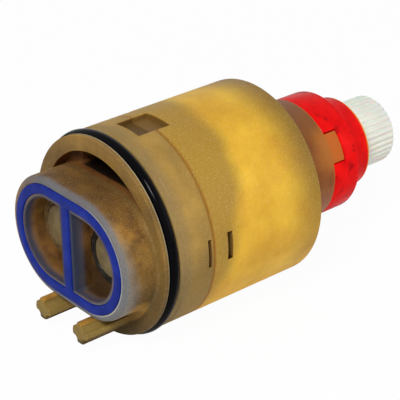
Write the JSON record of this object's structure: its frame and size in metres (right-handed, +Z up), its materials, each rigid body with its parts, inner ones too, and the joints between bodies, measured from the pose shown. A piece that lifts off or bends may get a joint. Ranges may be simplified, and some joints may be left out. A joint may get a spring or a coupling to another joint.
{
  "type": "pressure balancing tap cartridge",
  "caption": "Single-handle mixing cartridge: snap-together translucent housing, theta-shaped port seal, locating pegs, body ring, splined stem with a red hot-limit ring.",
  "frame": {"origin": "on the cartridge's axis, in the plane of the flange face that looks at the valve body's ports", "axes": "-Y along the axis towards the stem and the user, +Y towards the ports, +Z up towards the outlet, +X towards the cold side"},
  "size_m": [0.0386, 0.0774, 0.0386],
  "materials": {
    "amber_base": "translucent moulded polysulfone, frosted by handling",
    "amber_housing": "translucent moulded polysulfone, fine grain",
    "blue_rubber": "smooth moulded silicone",
    "black_rubber": "smooth moulded nitrile",
    "beige_acetal": "moulded acetal",
    "dark_acetal": "moulded acetal",
    "white_acetal": "moulded acetal",
    "red_plastic": "glossy translucent moulding",
    "spring_steel": "drawn stainless steel",
    "alumina": "lapped alumina"
  },
  "bodies": {
    "housing": {"base": "amber_base", "upper_housing": "amber_housing", "port_seal": "blue_rubber", "body_ring": "black_rubber", "hot_check_seat": "black_rubber", "hot_check_spring": "spring_steel", "hot_check_cage": "beige_acetal", "cold_check_seat": "black_rubber", "cold_check_spring": "spring_steel", "cold_check_cage": "beige_acetal", "balance_sleeve": "beige_acetal", "balance_plug": "beige_acetal", "hot_sleeve_ring": "black_rubber", "middle_sleeve_ring": "black_rubber", "cold_sleeve_ring": "black_rubber", "disc_seal": "black_rubber", "fixed_disc": "alumina"},
    "stem_set": {"stem": "white_acetal", "disc_carrier": "dark_acetal", "moving_disc": "alumina", "lower_stem_ring": "black_rubber", "upper_stem_ring": "black_rubber", "thrust_washer": "white_acetal"},
    "limit": {"limit_ring": "red_plastic"},
    "spool": {"balance_spool": "spring_steel"},
    "hot_poppet": {"hot_check_poppet": "beige_acetal"},
    "cold_poppet": {"cold_check_poppet": "beige_acetal"}
  },
  "joints": [
    {"name": "stem_turn", "type": "hinge", "parent": "housing", "child": "stem_set", "pos_m": [0, 0, 0], "axis": [0, -1, 0], "range_deg": [0, 200]},
    {"name": "limit_ring_lift", "type": "slide", "parent": "housing", "child": "limit", "axis": [0, -1, 0], "range_m": [0, 0.005]},
    {"name": "spool_slide", "type": "slide", "parent": "housing", "child": "spool", "axis": [1, 0, 0], "range_m": [-0.0015, 0.0015]},
    {"name": "hot_check_lift", "type": "slide", "parent": "housing", "child": "hot_poppet", "axis": [0, -1, 0], "range_m": [0, 0.0018], "stiffness_N_per_m": 40, "springref_m": -0.001, "deforming": ["hot_check_spring"]},
    {"name": "cold_check_lift", "type": "slide", "parent": "housing", "child": "cold_poppet", "axis": [0, -1, 0], "range_m": [0, 0.0018], "stiffness_N_per_m": 40, "springref_m": -0.001, "deforming": ["cold_check_spring"]}
  ]
}
